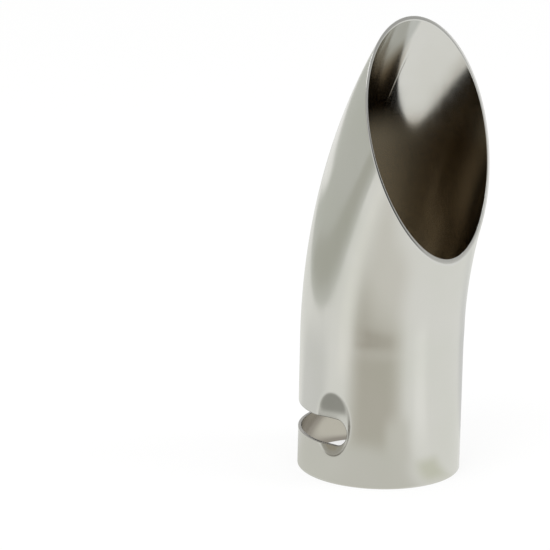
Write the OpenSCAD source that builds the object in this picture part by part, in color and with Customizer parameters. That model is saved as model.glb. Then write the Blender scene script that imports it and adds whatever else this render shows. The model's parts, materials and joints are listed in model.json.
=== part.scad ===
// Bent exhaust tip, one piece of thin stainless tube.
// A straight socket slides over the tail pipe, one smooth bend leans towards -Y,
// and a slanted cut leaves a long oval mouth. The origin is the centre of the socket's
// lower end, and the tube stands on that end. A fixing slot wraps round the back, on +Y.

/* [Tube] */
// Outer diameter of the tube
tube_od = 60; // [50:0.5:90]
// Thickness of the tube's wall
wall = 1.2; // [0.8:0.1:2]
// Height of the straight socket below the bend
socket_h = 48; // [40:0.5:70]
// Rounding of the two edges of the socket's lower end
rim_round = 0.3; // [0.1:0.05:0.35]

/* [Bend] */
// Radius of the bend, on the tube's centre line
bend_r = 181; // [140:1:260]

/* [Mouth] */
// Height of the mouth's lowest point, in the middle of the inside of the bend
mouth_low = 83.5; // [75:0.5:110]
// Lean of the slanted cut, measured from upright
mouth_lean = 16.5; // [5:0.5:30]

/* [Fixing slot] */
// Height of the slot's middle above the lower end
slot_z = 19.3; // [17:0.1:24]
// Clear height of the slot
slot_h = 9.6; // [6:0.2:12]
// Angle from the middle of the back to the centre of each round end
slot_reach = 101.5; // [60:0.5:115]
// Radius of the ball form that is pressed into the outside round each end
press_ball_r = 30; // [20:1:40]
// Depth of the pressed hollow at the slot's upper and lower edge
press_depth = 0.6; // [0.3:0.05:0.7]

/* [Hidden] */
$fn = 144;
tube_r = tube_od / 2;
bore_r = tube_r - wall;
// Length that a cutter passes beyond the surface it cuts
past = 2;
// Radius of the round ends, a hair over half the slot's height so that they meet its level edges in clear lines
drill_r = slot_h / 2 + 0.02;
// Slot edge's distance from the ball's pole, along the ball's axis
slot_sag = press_ball_r - sqrt(pow(press_ball_r, 2) - pow(slot_h / 2, 2));
// Distance from the tube's centre line to the centre of the pressing ball
ball_at = tube_r - press_depth - slot_sag + press_ball_r;
// Turn along the bend at which its inside meets the mouth's lowest point
low_turn = asin((mouth_low - socket_h) / (bend_r - tube_r));
// Mouth's lowest point, in front of the origin
low_y = (bend_r - tube_r) * cos(low_turn) - bend_r;
// Turn along the bend at which its outside meets the mouth's highest point
high_turn = acos((bend_r - tube_r) * cos(low_turn + mouth_lean) / (bend_r + tube_r)) - mouth_lean;
// Turn that the tube is swept through before the cut, a little past the mouth's top
sweep_a = high_turn + 3;
// Side of the block that takes away everything beyond the slanted cut
cut_size = 2 * (bend_r + tube_od);

// Ring in section across the tube
module wall_ring() {
    difference() {
        circle(r = tube_r);
        circle(r = bore_r);
    }
}

// Places its children where the bend begins, turning about an axis that lies level in front of it
module bend_start() {
    translate([0, -bend_r, socket_h])
        rotate([90, 0, 90])
            children();
}

// Straight socket, drawn down from the ring where the bend begins
module socket() {
    bend_start()
        rotate([90, 0, 0])
            linear_extrude(socket_h)
                translate([bend_r, 0])
                    wall_ring();
}

// Bend, swept up from the same ring
module bend() {
    bend_start()
        rotate_extrude(angle = sweep_a)
            translate([bend_r, 0])
                wall_ring();
}

// Section of what is broken off an edge at the radius edge_r, where side is 1 outside and -1 in the bore
module edge_section(edge_r, side) {
    difference() {
        translate([edge_r + side * (past - rim_round) / 2, (rim_round - past) / 2])
            square(past + rim_round, center = true);
        translate([edge_r - side * rim_round, rim_round])
            circle(r = rim_round);
    }
}

// Metal that is missing from the rounded edges of the socket's lower end
module rim_edges() {
    rotate_extrude() {
        edge_section(tube_r, 1);
        edge_section(bore_r, -1);
    }
}

// Everything beyond the slanted cut
module beyond_mouth() {
    translate([0, low_y, mouth_low])
        rotate([-mouth_lean, 0, 0])
            translate([-cut_size / 2, -cut_size, -cut_size / 2])
                cube(cut_size);
}

// Places its children at both ends of the slot, with +Y pointing out through the wall
module at_slot_ends() {
    for (side = [-1, 1])
        rotate([0, 0, side * slot_reach])
            translate([0, 0, slot_z])
                children();
}

// Level band of the slot round the back, up to the centres of its round ends
module slot_band() {
    translate([0, 0, slot_z - slot_h / 2])
        rotate([0, 0, 90 - slot_reach])
            rotate_extrude(angle = 2 * slot_reach)
                translate([bore_r - past, 0])
                    square([wall + 2 * past, slot_h]);
}

// Round ends of the slot, cut square through the wall
module slot_ends() {
    at_slot_ends()
        translate([0, bore_r - past, 0])
            rotate([-90, 0, 0])
                cylinder(r = drill_r, h = wall + 2 * past);
}

// Hollow that the pressing ball leaves in the outside of the wall
module pressed_hollow() {
    at_slot_ends()
        translate([0, ball_at, 0])
            sphere(r = press_ball_r);
}

// Whole tube with its mouth cut and its hollows pressed in, before the slot is cut
module pressed_tube() {
    difference() {
        union() {
            socket();
            bend();
        }
        beyond_mouth();
        rim_edges();
        pressed_hollow();
    }
}

// The band is cut before the round ends, which meet it without a step
module tip_tube() {
    color([0.75, 0.74, 0.71])
        difference() {
            difference() {
                pressed_tube();
                slot_band();
            }
            slot_ends();
        }
}

tip_tube();
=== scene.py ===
import bpy
import bmesh
import json
import math
import numpy as np
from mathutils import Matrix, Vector


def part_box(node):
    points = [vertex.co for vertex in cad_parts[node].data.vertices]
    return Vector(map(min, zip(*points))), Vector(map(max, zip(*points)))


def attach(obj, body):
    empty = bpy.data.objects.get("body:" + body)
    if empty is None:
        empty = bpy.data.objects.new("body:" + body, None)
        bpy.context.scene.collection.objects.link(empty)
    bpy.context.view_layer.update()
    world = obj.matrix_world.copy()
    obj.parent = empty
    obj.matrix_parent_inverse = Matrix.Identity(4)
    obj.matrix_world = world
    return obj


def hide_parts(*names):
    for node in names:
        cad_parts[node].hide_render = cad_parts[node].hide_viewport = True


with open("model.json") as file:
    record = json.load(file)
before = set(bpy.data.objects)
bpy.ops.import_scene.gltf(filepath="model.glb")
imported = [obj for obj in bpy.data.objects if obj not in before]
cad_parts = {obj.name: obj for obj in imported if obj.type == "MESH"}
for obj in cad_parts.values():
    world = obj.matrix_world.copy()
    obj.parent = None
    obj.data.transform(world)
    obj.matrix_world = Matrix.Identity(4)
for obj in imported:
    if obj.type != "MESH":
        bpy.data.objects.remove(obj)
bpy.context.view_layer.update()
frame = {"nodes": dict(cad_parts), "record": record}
print("frame loaded:", sorted(frame["nodes"]))

# Shape of the tube, in metres and degrees. The bore, the socket's length and the outside come from the frame.
socketMount = next(m for m in frame["record"]["mounts"] if m["name"] == "pipe_socket")
tubeShape = {
    "boreR": socketMount["dims"]["r_mm"] / 1000,
    "outerR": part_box("tip_tube")[1].x,
    "socketH": socketMount["dims"]["length_mm"] / 1000,
    "bendR": 0.181,          # radius of the bend on the centre line
    "mouthLow": 0.0835,      # height of the mouth's lowest point
    "mouthLean": 16.5,       # lean of the slanted cut from upright
    "edgeRound": 0.00022,    # broken outer edge of the mouth and the lower rim
    "boreRound": 0.00026,    # broken edge on the bore's side
    "columns": 192,          # mesh columns round the tube
    "bendRows": 136,         # mesh rows up the bend
    "roundSteps": 4,         # mesh steps over one broken edge
}
# Slight swell that bending leaves at the foot of the bend, on its inside.
swellShape = {"height": 0.00012, "at": 0.0535, "width": 0.0050, "sideCos": 0.15, "frontCos": 0.60}
# The skin's materials, in the order of its slots.
outsideFinish, insideFinish, edgeFinish, slotFinish = 0, 1, 2, 3
# The slot, and the hollow pressed in round each of its ends.
slotShape = {
    "z": 0.0193,             # height of the slot's middle
    "height": 0.0096,
    "reach": 101.5,          # from the middle of the back to the centre of each round end
    "edgeRound": 0.00030,
    "ballR": 0.040,          # ball form that pressed the wall in round each end
    "ballZ": 0.0225,         # height of the ball's middle
    "ballTurn": 2.8,         # how much farther round than the slot's end its middle lies
    "ballDepth": 0.0016,     # depth of the hollow in its middle
    "lipWall": 0.0011,       # wall left where it is pressed in
    "blend": 0.00055,        # how softly the pressed hollow meets the tube
    "frontPoints": 40,       # mesh points up the socket's front line
    "rows": 40,              # mesh rows from the slot out to the socket's ends
}


def smoothStep(value, low, high):
    part = np.clip((value - low) / (high - low), 0, 1)
    return part * part * (3 - 2 * part)


# Swell's height over the true tube: a bell over the length along the tube,
# height * exp(-((along - at) / width)^2), that fades out towards the sides as cos(psi) falls.
def swellHeight(along, psi):
    bell = np.exp(-((along - swellShape["at"]) / swellShape["width"]) ** 2)
    inFront = smoothStep(np.cos(psi), swellShape["sideCos"], swellShape["frontCos"])
    return swellShape["height"] * bell * inFront


# Point on a bent tube. psi is the angle round the tube from the inside of the bend and turn is the angle
# swept along it: rho, the distance from the bend's level axis, is bendR less radius times cos(psi),
# and the point lies rho away from that axis at the angle turn.
def bendPoint(shape, turn, psi, radius):
    rho = shape["bendR"] - radius * np.cos(psi)
    return np.stack([radius * np.sin(psi) + 0 * turn,
                     rho * np.cos(turn) - shape["bendR"],
                     shape["socketH"] + rho * np.sin(turn)], axis=-1)


# Turn at which a line along the tube meets a plane that lies inset below the slanted cut:
# rho * cos(turn + lean) is the same for the whole plane, so turn = acos((k + inset) / rho) - lean.
def mouthTurn(shape, psi, radius, inset=0.0):
    lean = math.radians(shape["mouthLean"])
    innerR = shape["bendR"] - shape["outerR"]
    lowTurn = math.asin((shape["mouthLow"] - shape["socketH"]) / innerR)
    k = innerR * math.cos(lowTurn + lean)
    return np.arccos((k + inset) / (shape["bendR"] - radius * np.cos(psi))) - lean


# Point on the straight socket: u is the angle round it from the middle of the back.
def socketPoint(u, z, radius):
    return np.stack([radius * np.sin(u), radius * np.cos(u), z + 0 * u], axis=-1)


# Section of a wall's end with both edges broken, in steps over a quarter circle at each edge: the distance in
# from the outside and the depth below the end face.
def brokenEdges(wall, outerEdge, boreEdge, steps):
    angle = np.linspace(0, math.pi / 2, steps + 1)
    across = np.concatenate([outerEdge * (1 - np.cos(angle)), wall - boreEdge * (1 - np.sin(angle))])
    depth = np.concatenate([outerEdge * (1 - np.sin(angle)), boreEdge * (1 - np.cos(angle))])
    return across, depth


# Closed loop round the slot, along the ends of the unrolled socket and down its front line.
# Gives each point's u and z there.
def socketLoop(shape, slot, zLow, zHigh):
    uBack = np.linspace(0, math.pi, shape["columns"] // 2 + 1)
    zFront = np.linspace(zHigh, zLow, slot["frontPoints"] + 2)[1:-1]
    halfU = np.concatenate([uBack, np.full(len(zFront), math.pi), uBack[::-1]])
    halfZ = np.concatenate([np.full(len(uBack), zHigh), zFront, np.full(len(uBack), zLow)])
    u = np.concatenate([halfU, -halfU[::-1][1:-1], halfU[:1]])
    z = np.concatenate([halfZ, halfZ[::-1][1:-1], halfZ[:1]])
    return u, z


# Slot's outline, widened by grow, one point for each point of the loop: straight above or below it along
# the level part, and on the ray from the round end's centre beyond. The ends are drilled square through the
# wall, so a distance x beyond the centre is an angle of asin(x / radius).
def slotOutline(shape, slot, u, z, grow, radius):
    reach = math.radians(slot["reach"])
    half = slot["height"] / 2 + grow
    beyond = np.maximum(np.abs(u) - reach, 0)
    ray = np.arctan2(z - slot["z"], beyond * shape["outerR"])
    side = np.where(u < 0, -1.0, 1.0)
    edgeU = np.where(beyond > 0, side * (reach + np.arcsin(half * np.cos(ray) / radius)), u)
    return edgeU, slot["z"] + half * np.sin(ray)


# Depth of the hollow pressed in round each end of the slot. The ball's centre lies ballAt out along the end's
# radial line, so the ball meets a radial ray at ballAt*cos(d) - sqrt(ballR^2 - h^2 - (ballAt*sin(d))^2).
# Within blend of the hollow's rim the depth is (depth + blend)^2 / (4 * blend), which runs out to nothing.
def pressedDepth(shape, slot, u, z):
    ballAt = shape["outerR"] - slot["ballDepth"] + slot["ballR"]
    d = np.abs(u) - math.radians(slot["reach"] - slot["ballTurn"])
    inside = slot["ballR"] ** 2 - (z - slot["ballZ"]) ** 2 - (ballAt * np.sin(d)) ** 2
    reachable = (inside > 0) & (np.cos(d) > 0)
    ballFace = ballAt * np.cos(d) - np.sqrt(np.maximum(inside, 0))
    depth = np.where(reachable, shape["outerR"] - ballFace, -1.0)
    blend = slot["blend"]
    soft = np.maximum(depth + blend, 0) ** 2 / (4 * blend)
    return np.where(depth > blend, depth, soft)


# Quads of a grid of rows by columns, as corner numbers.
def gridQuads(rows, columns, start, flip):
    first = start + np.arange(rows - 1)[:, None] * columns + np.arange(columns - 1)[None]
    quads = np.stack([first, first + 1, first + columns + 1, first + columns], axis=-1).reshape(-1, 4)
    return quads[:, ::-1] if flip else quads


# One mesh from several grids. Each grid has its points, its (round, along) lengths for the UV map, whether
# its quads turn over, and the number of its finish. Grids meet on shared points, which are merged into one
# closed skin.
def meshFromGrids(name, grids):
    points = np.concatenate([g["points"].reshape(-1, 3) for g in grids])
    lengths = np.concatenate([g["lengths"].reshape(-1, 2) for g in grids])
    quads, finishes = [], []
    start = 0
    for g in grids:
        rows, columns = g["points"].shape[:2]
        quads.append(gridQuads(rows, columns, start, g["flip"]))
        finishes.append(np.full(len(quads[-1]), g["finish"], np.int32))
        start += rows * columns
    quads = np.concatenate(quads)
    mesh = bpy.data.meshes.new(name)
    mesh.vertices.add(len(points))
    mesh.vertices.foreach_set("co", points.ravel())
    mesh.loops.add(quads.size)
    mesh.loops.foreach_set("vertex_index", quads.ravel().astype(np.int32))
    mesh.polygons.add(len(quads))
    mesh.polygons.foreach_set("loop_start", np.arange(0, quads.size, 4, dtype=np.int32))
    mesh.update(calc_edges=True)
    mesh.polygons.foreach_set("material_index", np.concatenate(finishes))
    uv = mesh.uv_layers.new(name="alongTube")
    uv.data.foreach_set("uv", lengths[quads.ravel()].ravel())
    welded = bmesh.new()
    welded.from_mesh(mesh)
    bmesh.ops.remove_doubles(welded, verts=welded.verts, dist=1e-6)
    bmesh.ops.dissolve_degenerate(welded, edges=welded.edges, dist=1e-7)
    print(name, "volume in cubic mm:", round(welded.calc_volume(signed=True) * 1e9, 1),
          "open edges:", sum(1 for e in welded.edges if len(e.link_faces) != 2))
    welded.to_mesh(mesh)
    welded.free()
    mesh.polygons.foreach_set("use_smooth", np.ones(len(mesh.polygons), bool))
    piece = bpy.data.objects.new(name, mesh)
    bpy.context.scene.collection.objects.link(piece)
    return piece


# The whole tube as one closed skin: socket, bend, both rims and the slot's edge, outside and inside.
def makeTube(shape, slot):
    wall = shape["outerR"] - shape["boreR"]
    zHigh = shape["socketH"]
    psi = np.linspace(-math.pi, math.pi, shape["columns"] + 1)
    grids = []

    def addGrid(points, roundLength, alongLength, flip, finish):
        lengths = np.stack([np.broadcast_to(roundLength, points.shape[:2]),
                            np.broadcast_to(alongLength, points.shape[:2])], axis=-1)
        grids.append({"points": points, "lengths": lengths, "flip": flip, "finish": finish})

    # socket, outside then inside, as rows from the slot's edge out to the socket's ends
    outlineU, outlineZ = socketLoop(shape, slot, 0.0, zHigh)
    step = np.linspace(0, 1, slot["rows"] + 1)[:, None] ** 1.6
    for radius, zLow, flip, finish in ((shape["outerR"], shape["edgeRound"], True, outsideFinish),
                                       (shape["boreR"], shape["boreRound"], False, insideFinish)):
        loopU, loopZ = socketLoop(shape, slot, zLow, zHigh)
        edgeU, edgeZ = slotOutline(shape, slot, outlineU, outlineZ, slot["edgeRound"], radius)
        u = edgeU + step * (loopU - edgeU)
        z = edgeZ + step * (loopZ - edgeZ)
        pressed = pressedDepth(shape, slot, u, z)
        skin = shape["outerR"] - pressed + swellHeight(z, math.pi - u)
        if finish == insideFinish:
            skin = np.minimum(shape["boreR"], skin - slot["lipWall"])
        addGrid(socketPoint(u, z, skin), u * shape["outerR"], z, flip, finish)

    # the slot's cut edge, through the wall from the outer skin to the inner one
    rounding = slot["edgeRound"]
    across, grow = brokenEdges(wall, rounding, rounding, shape["roundSteps"])
    rows = []
    for k in range(len(grow)):
        fromInside = k > shape["roundSteps"]
        radius = shape["boreR"] if fromInside else shape["outerR"]
        edgeU, edgeZ = slotOutline(shape, slot, outlineU, outlineZ, grow[k], radius)
        skinU, skinZ = slotOutline(shape, slot, outlineU, outlineZ, rounding, radius)
        skin = shape["outerR"] - pressedDepth(shape, slot, skinU, skinZ)
        if fromInside:
            skin = np.minimum(shape["boreR"], skin - slot["lipWall"]) + wall
        rows.append(socketPoint(edgeU, edgeZ, skin - across[k]))
    addGrid(np.stack(rows), outlineU * shape["outerR"], outlineZ, False, slotFinish)

    # bend, outside then inside, up to the broken edge of the mouth
    rise = 1 - (1 - np.linspace(0, 1, shape["bendRows"] + 1)[:, None]) ** 1.4
    for radius, edge, flip, finish in ((shape["outerR"], shape["edgeRound"], False, outsideFinish),
                                       (shape["boreR"], shape["boreRound"], True, insideFinish)):
        turn = rise * mouthTurn(shape, psi, radius, edge)
        along = shape["socketH"] + turn * shape["bendR"]
        swell = swellHeight(along, psi) if finish == outsideFinish else 0.0
        addGrid(bendPoint(shape, turn, psi, radius + swell), psi * shape["outerR"], along, flip, finish)

    # mouth and lower rim
    across, depth = brokenEdges(wall, shape["edgeRound"], shape["boreRound"], shape["roundSteps"])
    radius = (shape["outerR"] - across)[:, None]
    turn = mouthTurn(shape, psi, radius, depth[:, None])
    addGrid(bendPoint(shape, turn, psi, radius), psi * shape["outerR"],
            shape["socketH"] + turn * shape["bendR"], False, edgeFinish)
    u = math.pi - psi
    addGrid(socketPoint(u, depth[:, None], radius), psi * shape["outerR"], depth[:, None], True, edgeFinish)
    return meshFromGrids("tipSkin", grids)


# How the wall inside the bend departs from a true bend, as slopes in metres per metre: it is flatter along the
# tube and turned a little round it, each by its own pair of slopes (deep in the bore, up at the mouth) that
# blend between two heights. Both come in on the back half and above the socket.
boreSlope = {
    "along": (0.028, 0.095),
    "round": (0.190, 0.010),
    "blend": (0.103, 0.153),
    "above": (0.052, 0.085),     # heights between which the slopes come in
    "backCos": (0.10, 0.55),     # how far back they come in, as the cosine from the back
}
# How far the mouth's cut edge leans outwards all round, as a slope, since tumbling leaves it a little domed.
mouthDome = 0.17


def unitVectors(vectors):
    return vectors / np.linalg.norm(vectors, axis=1)[:, None]


# Shading normals of the skin. With T the direction along the tube and N the mesh's own normal, the bore gets
# N + weight * (along * T + round * (T x N)), the mouth's edge gets N + mouthDome * R, where R points out
# across the tube from its centre line, and every other face keeps N.
def slopeTheSkin(piece, shape, slope):
    mesh = piece.data
    points = np.empty(len(mesh.vertices) * 3)
    mesh.vertices.foreach_get("co", points)
    x, y, z = points.reshape(-1, 3).T
    normals = np.empty(len(mesh.vertices) * 3)
    mesh.vertex_normals.foreach_get("vector", normals)
    normals = normals.reshape(-1, 3)
    height = np.maximum(z - shape["socketH"], 0)
    turn = np.arctan2(height, y + shape["bendR"])
    rho = np.hypot(height, y + shape["bendR"])
    beyond = rho - shape["bendR"]
    atBack = smoothStep(beyond / np.hypot(x, beyond), *slope["backCos"])
    weight = (atBack * smoothStep(z, *slope["above"]))[:, None]
    upAtMouth = smoothStep(z, *slope["blend"])[:, None]
    alongSlope, roundSlope = (deep + (high - deep) * upAtMouth
                              for deep, high in (slope["along"], slope["round"]))
    along = np.stack([0 * turn, -np.sin(turn), np.cos(turn)], axis=1)
    sloped = unitVectors(normals + weight * (alongSlope * along + roundSlope * np.cross(along, normals)))
    outward = unitVectors(np.stack([x, beyond * np.cos(turn), beyond * np.sin(turn)], axis=1))
    domed = unitVectors(normals + mouthDome * outward)
    domed = np.where(z[:, None] > shape["socketH"], domed, normals)
    corners = np.empty(len(mesh.loops), np.int32)
    mesh.loops.foreach_get("vertex_index", corners)
    finish = np.empty(len(mesh.polygons), np.int32)
    mesh.polygons.foreach_get("material_index", finish)
    ofCorner = np.repeat(finish, 4)[:, None]
    mesh.normals_split_custom_set(np.select([ofCorner == insideFinish, ofCorner == edgeFinish],
                                            [sloped[corners], domed[corners]], normals[corners]))


tipSkin = makeTube(tubeShape, slotShape)
slopeTheSkin(tipSkin, tubeShape, boreSlope)
print("tube made:", len(tipSkin.data.polygons), "faces")


# Adds a node, sets its named properties, fills its named or numbered inputs, and links any input that is
# given as another node's output.
def addNode(tree, kind, inputs=None, **settings):
    node = tree.nodes.new(kind)
    for key, value in settings.items():
        setattr(node, key, value)
    for key, value in (inputs or {}).items():
        if isinstance(value, bpy.types.NodeSocket):
            tree.links.new(value, node.inputs[key])
        else:
            node.inputs[key].default_value = value
    return node


def mathNode(tree, operation, first, second=0.0, third=0.0, limited=False):
    return addNode(tree, "ShaderNodeMath", {0: first, 1: second, 2: third},
                   operation=operation, use_clamp=limited).outputs[0]


def vectorNode(tree, operation, first, second=(0.0, 0.0, 0.0)):
    return addNode(tree, "ShaderNodeVectorMath", {0: first, 1: second}, operation=operation).outputs[0]


def mixColor(tree, amount, first, second):
    node = addNode(tree, "ShaderNodeMix", {0: amount, 6: first, 7: second}, data_type="RGBA")
    return node.outputs[2]


# One part of a vector, "X", "Y" or "Z".
def partOf(tree, vector, axis):
    return addNode(tree, "ShaderNodeSeparateXYZ", {0: vector}).outputs[axis]


# Value that runs from first to last while the given one runs from low to high, in a smooth S or in line.
def ramp(tree, value, low, high, first=0.0, last=1.0, shape="SMOOTHSTEP"):
    return addNode(tree, "ShaderNodeMapRange", {"Value": value, 1: low, 2: high, 3: first, 4: last},
                   interpolation_type=shape).outputs[0]


# Empty node group with the sockets that are listed as (name, socket type, first value).
def newGroup(name, inputs, outputs):
    tree = bpy.data.node_groups.new(name, "ShaderNodeTree")
    for label, kind, value in inputs:
        socket = tree.interface.new_socket(label, in_out="INPUT", socket_type=kind)
        if value is not None:
            socket.default_value = value
    for label, kind in outputs:
        tree.interface.new_socket(label, in_out="OUTPUT", socket_type=kind)
    return tree, addNode(tree, "NodeGroupInput").outputs, addNode(tree, "NodeGroupOutput").inputs


# How the finish varies over the metal. Scales are in cycles a metre, and heights are in metres.
grain = {
    "cloudScale": 42.0,
    "cloudRange": (0.38, 0.66),
    "lineScale": (22.0, 1900.0, 0.0),     # round the tube and along it
    "lineHeight": 0.0000012,
    "rubScale": (260.0, 260.0, 30.0),
    "rubHeight": 0.000006,
    "waveScale": 30.0,
    "waveHeight": 0.00022,
    "roughness": (0.8, 1.25),             # least and most share of the finish's own roughness
}
# Weld seam of the tube, by its distance round the tube from the inside of the bend, in metres. It is ground
# away above top.
seam = {"at": 0.0853, "top": 0.157, "fade": 0.006, "halfWidth": 0.0003, "height": 0.00002, "dullness": 0.12}


# Metal's finish: cloudy patches from polishing, fine lines that run round the tube, and faint rub marks.
# Colour and roughness shift a little with them, and the height holds the lines, the marks and the slow
# waviness of a bent wall.
def makeSteelFinish():
    tree, given, result = newGroup("steelFinish", [
        ("Color", "NodeSocketColor", (0.75, 0.74, 0.71, 1)),
        ("Tint", "NodeSocketColor", (0.72, 0.72, 0.64, 1)),
        ("Roughness", "NodeSocketFloat", 0.15),
        ("Patchiness", "NodeSocketFloat", 0.5),
        ("Waviness", "NodeSocketFloat", 1.0),
        ("Seam", "NodeSocketFloat", 0.0),
    ], [("Color", "NodeSocketColor"), ("Roughness", "NodeSocketFloat"), ("Height", "NodeSocketFloat")])
    place = addNode(tree, "ShaderNodeTexCoord").outputs["Object"]
    unrolled = addNode(tree, "ShaderNodeUVMap", uv_map="alongTube").outputs["UV"]
    cloud = addNode(tree, "ShaderNodeTexNoise", {"Vector": place, "Scale": grain["cloudScale"],
                                                 "Detail": 3.0, "Roughness": 0.55}).outputs["Fac"]
    stretched = vectorNode(tree, "MULTIPLY", unrolled, grain["lineScale"])
    lines = addNode(tree, "ShaderNodeTexNoise", {"Vector": stretched, "Scale": 1.0,
                                                 "Detail": 3.0, "Roughness": 0.6}).outputs["Fac"]
    drawnOut = vectorNode(tree, "MULTIPLY", place, grain["rubScale"])
    rubbed = addNode(tree, "ShaderNodeTexNoise", {"Vector": drawnOut, "Scale": 1.0,
                                                  "Detail": 4.0, "Distortion": 0.6}).outputs["Fac"]
    waves = addNode(tree, "ShaderNodeTexNoise", {"Vector": place, "Scale": grain["waveScale"],
                                                 "Detail": 1.0}).outputs["Fac"]
    cloudy = ramp(tree, cloud, *grain["cloudRange"], shape="LINEAR")
    tinted = mathNode(tree, "MULTIPLY", cloudy, given["Patchiness"], limited=True)
    tree.links.new(mixColor(tree, tinted, given["Color"], given["Tint"]), result["Color"])
    uneven = mathNode(tree, "MULTIPLY_ADD", rubbed, 0.5, mathNode(tree, "MULTIPLY", cloud, 0.5))
    factor = ramp(tree, uneven, 0.35, 0.65, *grain["roughness"], shape="LINEAR")
    marks = mathNode(tree, "MULTIPLY", rubbed, grain["rubHeight"])
    fine = mathNode(tree, "MULTIPLY_ADD", lines, grain["lineHeight"], marks)
    slow = mathNode(tree, "MULTIPLY", mathNode(tree, "MULTIPLY", waves, grain["waveHeight"]), given["Waviness"])
    # the tube's weld seam is a fine ridge along it
    fromSeam = mathNode(tree, "ABSOLUTE", mathNode(tree, "SUBTRACT", partOf(tree, unrolled, "X"), seam["at"]))
    ridge = ramp(tree, fromSeam, 0.0, seam["halfWidth"], 1.0, 0.0)
    below = ramp(tree, partOf(tree, place, "Z"), seam["top"], seam["top"] - seam["fade"], shape="LINEAR")
    onSeam = mathNode(tree, "MULTIPLY", mathNode(tree, "MULTIPLY", ridge, below), given["Seam"])
    roughness = mathNode(tree, "MULTIPLY", given["Roughness"], factor)
    tree.links.new(mathNode(tree, "MULTIPLY_ADD", onSeam, seam["dullness"], roughness), result["Roughness"])
    height = mathNode(tree, "MULTIPLY_ADD", onSeam, seam["height"], mathNode(tree, "ADD", fine, slow))
    tree.links.new(height, result["Height"])
    return tree


steelFinish = makeSteelFinish()
finishes = {
    "polished": {"color": (0.760, 0.752, 0.722, 1), "tint": (0.735, 0.737, 0.690, 1), "roughness": 0.13,
                 "patchiness": 0.6, "waviness": 0.35, "seam": 0.0, "anisotropic": 0.55, "paintedShadeAndGlow": 0.0},
    "drawnBore": {"color": (0.760, 0.752, 0.725, 1), "tint": (0.73, 0.72, 0.68, 1), "roughness": 0.12,
                  "patchiness": 0.6, "waviness": 0.30, "seam": 1.0, "anisotropic": 0.55, "paintedShadeAndGlow": 1.0},
    "cutEdge": {"color": (0.78, 0.775, 0.755, 1), "tint": (0.70, 0.70, 0.68, 1), "roughness": 0.13,
                "patchiness": 0.4, "waviness": 0.0, "seam": 0.0, "anisotropic": 0.0, "paintedShadeAndGlow": 0.0},
    "shearedEdge": {"color": (0.40, 0.39, 0.365, 1), "tint": (0.30, 0.29, 0.27, 1), "roughness": 0.30,
                    "patchiness": 0.8, "waviness": 0.0, "seam": 0.0, "anisotropic": 0.0, "paintedShadeAndGlow": 0.0},
}
# Painted shade deep in the bore, in a dark brown. It comes in below one height, reaches pastSeam higher beyond
# the weld seam, where the metal above it is painted darker too, and fades again towards the slot, in metres.
paintedBoreShade = {
    "above": (0.134, 0.117),
    "below": (0.040, 0.065),
    "pastSeam": 0.027,
    "color": (0.35, 0.30, 0.23, 1),
    "roughness": 0.14,
    "pastSeamShade": (0.57, 0.575, 0.55, 1),
}
# Painted light in the bore: a faint glow between two heights, round one line along the bore that is given as its
# distance round the tube from the inside of the bend.
paintedBoreGlow = {
    "above": (0.134, 0.118),
    "below": (0.070, 0.095),
    "brightestAt": 0.0864,
    "narrowness": 5.0,
    "glow": (0.084, 0.072, 0.050, 1),
}


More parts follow.
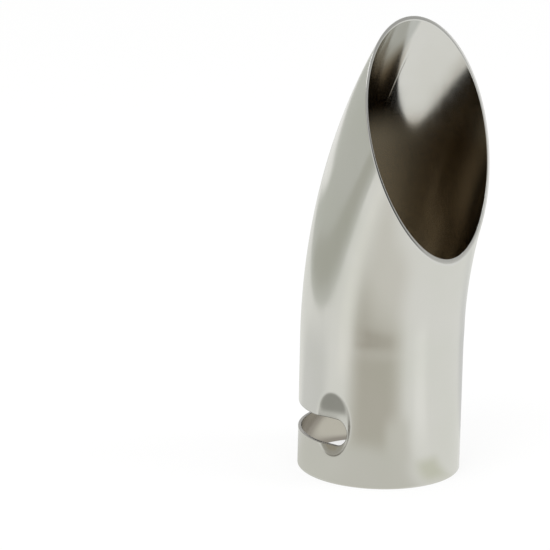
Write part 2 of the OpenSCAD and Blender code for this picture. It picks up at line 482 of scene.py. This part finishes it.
# One finish's material. The Principled shader gets its uniform values on its own sockets.
def makeMetal(name, finish):
    material = bpy.data.materials.new(name)
    material.use_nodes = True
    tree = material.node_tree
    tree.nodes.clear()
    group = addNode(tree, "ShaderNodeGroup", node_tree=steelFinish)
    for socket, key in (("Color", "color"), ("Tint", "tint"), ("Roughness", "roughness"),
                        ("Patchiness", "patchiness"), ("Waviness", "waviness"), ("Seam", "seam")):
        group.inputs[socket].default_value = finish[key]
    height = partOf(tree, addNode(tree, "ShaderNodeTexCoord").outputs["Object"], "Z")
    aside = partOf(tree, addNode(tree, "ShaderNodeUVMap", uv_map="alongTube").outputs["UV"], "X")

    def angleFrom(line):
        return mathNode(tree, "DIVIDE", mathNode(tree, "SUBTRACT", aside, line), tubeShape["outerR"])

    # the painted shade, which reaches higher on one side of the seam
    acrossSeam = mathNode(tree, "SINE", angleFrom(seam["at"]))
    pastSeam = ramp(tree, acrossSeam, -0.06, 0.06)
    wellPast = ramp(tree, acrossSeam, 0.05, 0.13)
    lowered = mathNode(tree, "MULTIPLY_ADD", pastSeam, -paintedBoreShade["pastSeam"], height)
    shadedLow = mathNode(tree, "MULTIPLY", ramp(tree, height, *paintedBoreShade["below"]), finish["paintedShadeAndGlow"])
    deep = mathNode(tree, "MULTIPLY", ramp(tree, lowered, *paintedBoreShade["above"]), shadedLow)
    shadedPastSeam = mathNode(tree, "MULTIPLY", wellPast, shadedLow)
    color = mixColor(tree, shadedPastSeam, group.outputs["Color"], paintedBoreShade["pastSeamShade"])
    color = mixColor(tree, deep, color, paintedBoreShade["color"])
    rough = addNode(tree, "ShaderNodeMix", {0: deep, 2: group.outputs["Roughness"],
                                            3: paintedBoreShade["roughness"]}).outputs[0]
    # the painted glow, brightest along its line
    fromLine = mathNode(tree, "COSINE", angleFrom(paintedBoreGlow["brightestAt"]))
    nearLine = ramp(tree, fromLine, 0.2, 1.0, shape="LINEAR")
    band = mathNode(tree, "POWER", nearLine, paintedBoreGlow["narrowness"])
    lowEnough, highEnough = (ramp(tree, height, *paintedBoreGlow[limit]) for limit in ("above", "below"))
    glowing = mathNode(tree, "MULTIPLY", mathNode(tree, "MULTIPLY", lowEnough, highEnough), finish["paintedShadeAndGlow"])
    glow = mixColor(tree, mathNode(tree, "MULTIPLY", band, glowing), (0, 0, 0, 1), paintedBoreGlow["glow"])
    bump = addNode(tree, "ShaderNodeBump", {"Height": group.outputs["Height"], "Distance": 1.0,
                                            "Strength": 1.0}).outputs[0]
    shader = addNode(tree, "ShaderNodeBsdfPrincipled", {
        "Base Color": color, "Roughness": rough, "Metallic": 1.0, "Anisotropic": finish["anisotropic"],
        "Emission Color": glow, "Emission Strength": 1.0, "Normal": bump})
    addNode(tree, "ShaderNodeOutputMaterial", {"Surface": shader.outputs[0]})
    return material


for name, finish in finishes.items():
    tipSkin.data.materials.append(makeMetal(name, finish))
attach(tipSkin, "root")
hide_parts("tip_tube")
print("finishes made:", [m.name for m in tipSkin.data.materials])

# The camera, in metres and degrees, with the lens in millimetres.
viewer = {
    "place": (-0.82783, -0.80155, 0.38980),
    "turn": (74.5486, -1.0690, -43.6573),
    "lens": 214.116,
    "sensor": 36.0,
}
lens = bpy.data.cameras.new("viewer")
lens.lens, lens.sensor_width = viewer["lens"], viewer["sensor"]
lens.clip_start, lens.clip_end = 0.05, 20.0
camera = bpy.data.objects.new("viewer", lens)
camera.location = viewer["place"]
camera.rotation_euler = [math.radians(a) for a in viewer["turn"]]
bpy.context.scene.collection.objects.link(camera)
bpy.context.scene.camera = camera

# Light that the floor gives to the metal. A flat patch is placed in the floor's own axes, +X to the right and
# +Y away from the camera, in metres. A round one is placed by its angle from the camera's side, in degrees to
# the right, and its distance from the tube's axis. Each has its middle, its half sizes, how soft its edge is
# (0 to 1), its strength, which is mixed over what lies under it, and the rays that see it, from fully to not at
# all, by the sine of their rise. A patch of the sky has its angle to the right, its height in degrees, the
# angles from its middle at which it begins and is full, and its strength.
anyRay, lowRay, levelRay, steepRay = (2.0, 3.0), (0.56, 0.68), (0.290, 0.480), (0.500, 0.390)
grazingRay = (0.10, 0.22)
studio = {
    "floorSize": 12.0,
    "floorTurn": -43.953,
    "floorWhite": (0.92, 0.92, 0.915, 1),
    "cameraGlow": 0.80,
    "base": (0.81, 0.815, 0.785, 1),
    "wellR": 0.0295,
    "wellLight": (0.62, 0.60, 0.535, 1),
    "wellShadow": (0.36, 0.335, 0.30, 1),
    "wellRing": (0.0215, 0.0265),
    "skyHigh": (0.95, 0.95, 0.95, 1),
    "skyLow": (0.58, 0.58, 0.555, 1),
    "skyPatches": [
        (-59.6, 0.0, 57.0, 32.0, (0.33, 0.305, 0.250, 1)),
        (88.0, 26.0, 30.0, 10.0, (0.42, 0.42, 0.405, 1)),
        (68.0, 6.0, 14.0, 4.0, (0.03, 0.03, 0.03, 1)),
        (112.0, 4.0, 15.0, 7.0, (0.90, 0.90, 0.89, 1)),
        (45.0, 46.0, 42.0, 22.0, (0.40, 0.40, 0.39, 1)),
        (0.0, 8.0, 24.0, 8.0, (0.88, 0.88, 0.87, 1)),
    ],
    "flatPatches": [
        ((0.260, 0.000), (0.200, 0.400), 0.40, (0.82, 0.825, 0.80, 1), anyRay),
        ((-3.250, 0.000), (3.000, 6.000), 0.004, (0.55, 0.56, 0.52, 1), anyRay),
        ((-0.336, -0.264), (0.160, 0.095), 0.25, (0.55, 0.56, 0.52, 1), anyRay),
        ((-0.362, 0.050), (0.092, 0.300), 0.50, (0.455, 0.460, 0.410, 1), anyRay),
        ((-0.420, 0.900), (0.330, 0.420), 0.40, (0.92, 0.92, 0.90, 1), anyRay),
        # painted shadow by the tube's foot, seen only by steep rays
        ((-0.060, -0.048), (0.050, 0.050), 0.45, (0.33, 0.33, 0.305, 1), steepRay),
    ],
    "roundPatches": [
        ((-105.0, 0.100), (38.0, 0.160), 0.55, (0.70, 0.705, 0.685, 1), anyRay),
        ((-50.0, 0.205), (16.0, 0.060), 0.60, (0.86, 0.86, 0.82, 1), lowRay),
        ((50.0, 0.150), (13.0, 0.110), 0.80, (0.90, 0.905, 0.88, 1), levelRay),
        ((-7.8, 0.130), (44.2, 0.250), 0.70, (0.69, 0.68, 0.635, 1), lowRay),
        ((-8.8, 0.130), (45.2, 0.250), 0.70, (0.50, 0.485, 0.425, 1), levelRay),
        ((-14.0, 0.203), (34.0, 0.020), 0.70, (0.42, 0.400, 0.345, 1), levelRay),
        ((20.0, 0.085), (22.0, 0.040), 0.70, (0.66, 0.655, 0.61, 1), levelRay),
        ((150.0, 0.120), (30.0, 0.140), 0.60, (0.68, 0.685, 0.68, 1), anyRay),
        ((-45.0, 0.030), (95.0, 0.062), 0.40, (0.64, 0.64, 0.595, 1), levelRay),
        ((52.0, 0.045), (22.0, 0.020), 0.80, (0.66, 0.67, 0.58, 1), anyRay),
        ((-57.0, 0.088), (11.0, 0.020), 0.50, (0.19, 0.18, 0.155, 1), levelRay),
        ((-68.0, 2.000), (22.0, 1.960), 0.02, (0.36, 0.35, 0.31, 1), grazingRay),
    ],
}


# Mask of a soft oval patch: it falls from 1 inside to 0 at the edge over its softness, by the distance from the
# patch's middle, measured in half sizes.
def makeSoftPatch():
    tree, given, result = newGroup("softPatch", [
        ("Place", "NodeSocketVector", None), ("Middle", "NodeSocketVector", None),
        ("Half Size", "NodeSocketVector", (1, 1, 1)), ("Softness", "NodeSocketFloat", 0.5),
    ], [("Mask", "NodeSocketFloat")])
    offset = vectorNode(tree, "SUBTRACT", given["Place"], given["Middle"])
    away = vectorNode(tree, "DIVIDE", offset, given["Half Size"])
    parts = addNode(tree, "ShaderNodeSeparateXYZ", {0: away}).outputs
    # a squarish oval: fourth powers of both parts
    fourth = [mathNode(tree, "POWER", mathNode(tree, "ABSOLUTE", parts[axis]), 4.0) for axis in ("X", "Y")]
    distance = mathNode(tree, "POWER", mathNode(tree, "ADD", fourth[0], fourth[1]), 0.25)
    inner = mathNode(tree, "SUBTRACT", 1.0, given["Softness"])
    tree.links.new(ramp(tree, distance, inner, 1.0, 1.0, 0.0), result["Mask"])
    return tree


# The floor looks white to the camera and keeps a soft shadow. In the metal it shows the patches above.
def makeFloor():
    side = studio["floorSize"] / 2
    mesh = bpy.data.meshes.new("floor")
    corners = [(-side, -side, 0), (side, -side, 0), (side, side, 0), (-side, side, 0)]
    mesh.from_pydata(corners, [], [(0, 1, 2, 3)])
    floor = bpy.data.objects.new("floor", mesh)
    floor.rotation_euler.z = math.radians(studio["floorTurn"])
    bpy.context.scene.collection.objects.link(floor)
    material = bpy.data.materials.new("paleFloor")
    material.use_nodes = True
    tree = material.node_tree
    tree.nodes.clear()
    place = addNode(tree, "ShaderNodeTexCoord").outputs["Object"]
    softPatch = makeSoftPatch()
    incoming = addNode(tree, "ShaderNodeNewGeometry").outputs["Incoming"]
    rise = mathNode(tree, "ABSOLUTE", partOf(tree, incoming, "Z"))
    away = addNode(tree, "ShaderNodeVectorMath", {0: place}, operation="LENGTH").outputs["Value"]
    parts = addNode(tree, "ShaderNodeSeparateXYZ", {0: place}).outputs
    angle = mathNode(tree, "ARCTAN2", parts["X"], mathNode(tree, "MULTIPLY", parts["Y"], -1.0))
    polar = addNode(tree, "ShaderNodeCombineXYZ", {0: mathNode(tree, "DEGREES", angle), 1: away}).outputs[0]
    glow = studio["base"]
    patches = ([(place, *patch) for patch in studio["flatPatches"]]
               + [(polar, *patch) for patch in studio["roundPatches"]])
    for where, middle, half, softness, color, (seenFully, unseen) in patches:
        mask = addNode(tree, "ShaderNodeGroup", {"Place": where, "Middle": (*middle, 0),
                                                 "Half Size": (*half, 1), "Softness": softness},
                       node_tree=softPatch).outputs["Mask"]
        ray = ramp(tree, rise, seenFully, unseen, 1.0, 0.0)
        glow = mixColor(tree, mathNode(tree, "MULTIPLY", mask, ray), glow, color)
    # inside the tube's foot: pale, with a darker ring of painted shadow by the wall
    inFoot = mixColor(tree, ramp(tree, away, *studio["wellRing"]), studio["wellLight"], studio["wellShadow"])
    glow = mixColor(tree, mathNode(tree, "LESS_THAN", away, studio["wellR"]), glow, inFoot)
    path = addNode(tree, "ShaderNodeLightPath").outputs
    inMetal = addNode(tree, "ShaderNodeEmission", {"Color": glow, "Strength": 1.0}).outputs[0]
    lit = addNode(tree, "ShaderNodeBsdfDiffuse", {"Color": studio["floorWhite"]}).outputs[0]
    white = addNode(tree, "ShaderNodeEmission", {"Color": (1, 1, 1, 1), "Strength": 1.0}).outputs[0]
    seen = addNode(tree, "ShaderNodeMixShader", {0: studio["cameraGlow"], 1: lit, 2: white}).outputs[0]
    direct = mathNode(tree, "MAXIMUM", path["Is Camera Ray"], path["Is Transmission Ray"])
    plain = addNode(tree, "ShaderNodeMixShader", {0: direct, 1: lit, 2: seen}).outputs[0]
    surface = addNode(tree, "ShaderNodeMixShader", {0: path["Is Glossy Ray"], 1: plain,
                                                    2: inMetal}).outputs[0]
    addNode(tree, "ShaderNodeOutputMaterial", {"Surface": surface})
    mesh.materials.append(material)
    return floor


# The sky round the object: white to the camera, a soft rise from the horizon up, and patches in the metal.
def makeSky():
    world = bpy.data.worlds.new("softStudio")
    bpy.context.scene.world = world
    world.use_nodes = True
    tree = world.node_tree
    tree.nodes.clear()
    way = addNode(tree, "ShaderNodeTexCoord").outputs["Generated"]
    rise = ramp(tree, partOf(tree, way, "Z"), 0.0, 0.5)
    plain = dome = mixColor(tree, rise, studio["skyLow"], studio["skyHigh"])
    for angle, height, outer, inner, color in studio["skyPatches"]:
        turn, tilt = math.radians(angle - 90 + studio["floorTurn"]), math.radians(height)
        middle = (math.cos(tilt) * math.cos(turn), math.cos(tilt) * math.sin(turn), math.sin(tilt))
        near = addNode(tree, "ShaderNodeVectorMath", {0: way, 1: middle},
                       operation="DOT_PRODUCT").outputs["Value"]
        mask = ramp(tree, near, math.cos(math.radians(outer)), math.cos(math.radians(inner)))
        dome = mixColor(tree, mask, dome, color)
    path = addNode(tree, "ShaderNodeLightPath").outputs
    color = mixColor(tree, path["Is Glossy Ray"], plain, dome)
    color = mixColor(tree, path["Is Camera Ray"], color, (1, 1, 1, 1))
    addNode(tree, "ShaderNodeOutputWorld",
            {"Surface": addNode(tree, "ShaderNodeBackground", {"Color": color, "Strength": 1.0}).outputs[0]})
    return world


makeFloor()
makeSky()

# Large soft lamps: name, place in metres, size in metres, power in watts, and whether the metal shows them.
lamps = [
    ("leftBox", (-0.9, -0.2, 1.3), 0.9, 6.0, True),
    ("rightBox", (0.7, -0.9, 1.2), 0.8, 5.0, False),
]
for name, place, size, power, inMetal in lamps:
    light = bpy.data.lights.new(name, "AREA")
    light.shape, light.size, light.energy = "DISK", size, power
    lamp = bpy.data.objects.new(name, light)
    lamp.location = place
    lamp.visible_glossy = inMetal
    lamp.rotation_euler = (Vector((0, 0, 0.08)) - Vector(place)).to_track_quat("-Z", "Y").to_euler()
    bpy.context.scene.collection.objects.link(lamp)
bpy.context.scene.view_settings.view_transform = "Standard"
print("studio ready")
